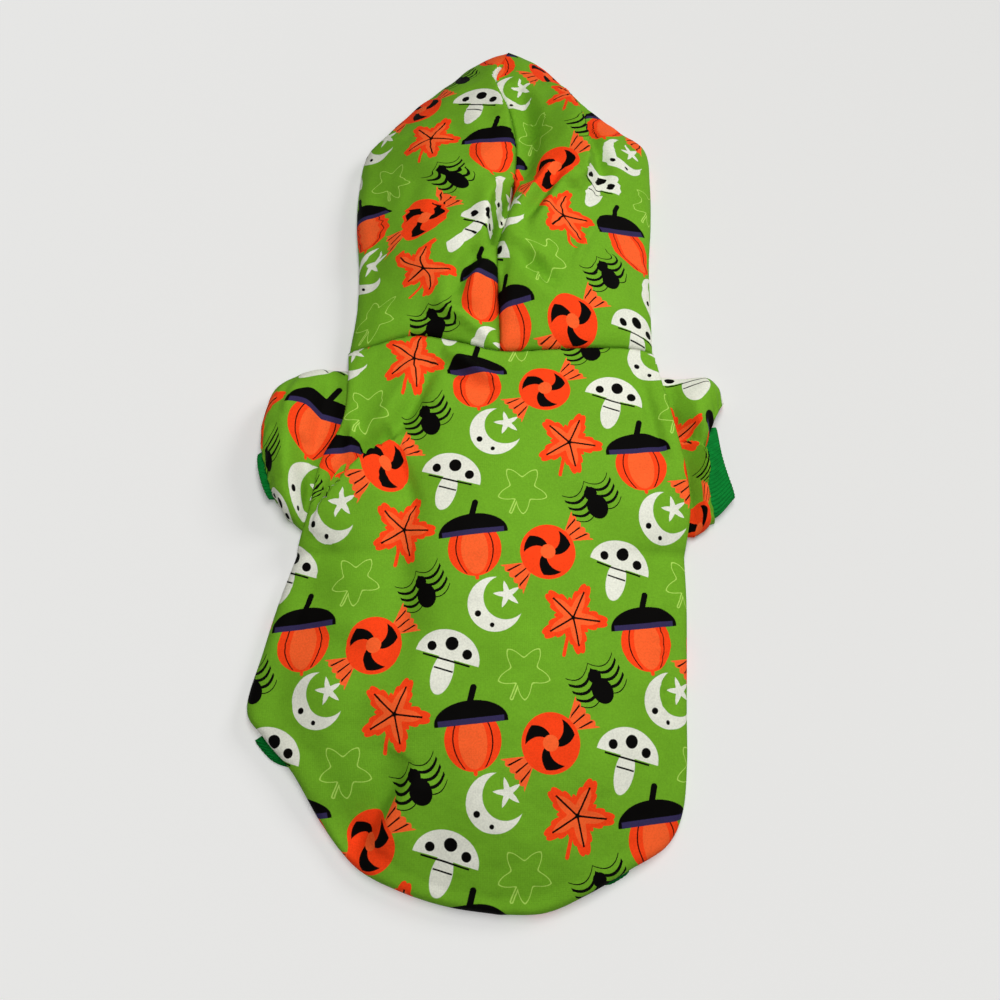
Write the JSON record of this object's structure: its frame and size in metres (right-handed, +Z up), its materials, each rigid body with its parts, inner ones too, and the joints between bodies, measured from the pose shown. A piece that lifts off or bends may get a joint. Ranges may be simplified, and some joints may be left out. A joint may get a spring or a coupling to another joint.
{
  "type": "dog hoodie",
  "caption": "Pull-on hoodie for a small dog, lying back up: domed printed back and hood, flat belly panel, two short sleeves with rib cuffs and a rib waist band",
  "frame": {"origin": "middle of the whole part's footprint, on the surface that it lies on", "axes": "+X to the wearer's right as it lies back up, +Y from the tail toward the hood's tip, +Z up from the surface"},
  "size_m": [0.2702, 0.5268, 0.038],
  "materials": {
    "print_cloth": "soft brushed jersey, leaf green ground with a printed pattern, matte",
    "rib_knit": "ribbed knit, deep green, matte"
  },
  "bodies": {
    "root": {"back_panel": "print_cloth", "belly_panel": "print_cloth", "hood_left": "print_cloth", "hood_right": "print_cloth", "sleeve_left": "print_cloth", "sleeve_right": "print_cloth", "cuff_left": "rib_knit", "cuff_right": "rib_knit", "waist_rib": "rib_knit"}
  },
  "joints": []
}
